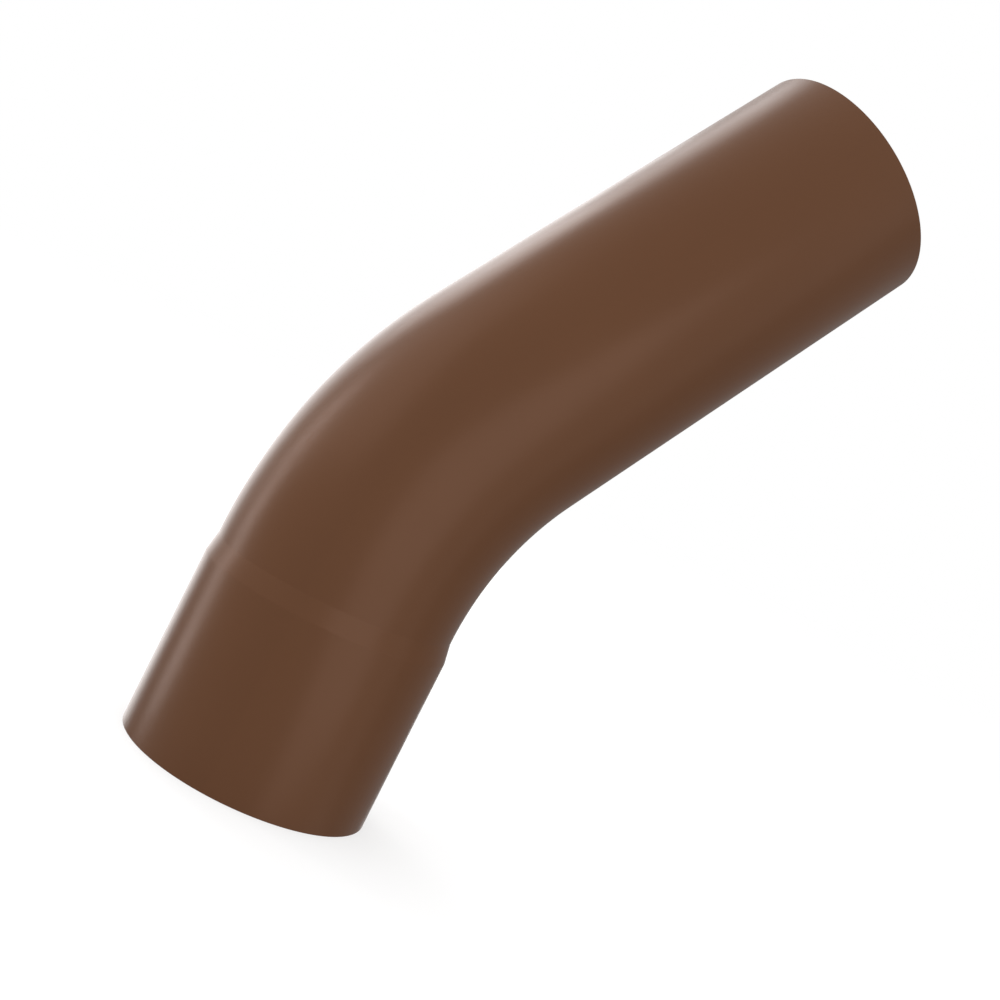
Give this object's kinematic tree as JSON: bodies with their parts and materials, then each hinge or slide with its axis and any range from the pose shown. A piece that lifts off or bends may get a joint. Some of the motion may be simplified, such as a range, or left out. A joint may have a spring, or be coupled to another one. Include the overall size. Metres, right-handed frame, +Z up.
{
  "type": "downspout elbow",
  "caption": "Round coated-metal downspout elbow: an expanded socket takes the next pipe, a smooth bend turns the water's way, and a long plain spigot slips into the pipe beyond.",
  "frame": {"origin": "centre of the socket's mouth, in the plane of its rim", "axes": "+Z up the socket's axis into the elbow, +X towards the side that the bend turns to, +Y square to the bend's plane"},
  "size_m": [0.2155, 0.1028, 0.3481],
  "materials": {
    "coating": "satin"
  },
  "bodies": {
    "root": {"elbow": "coating"}
  },
  "joints": []
}
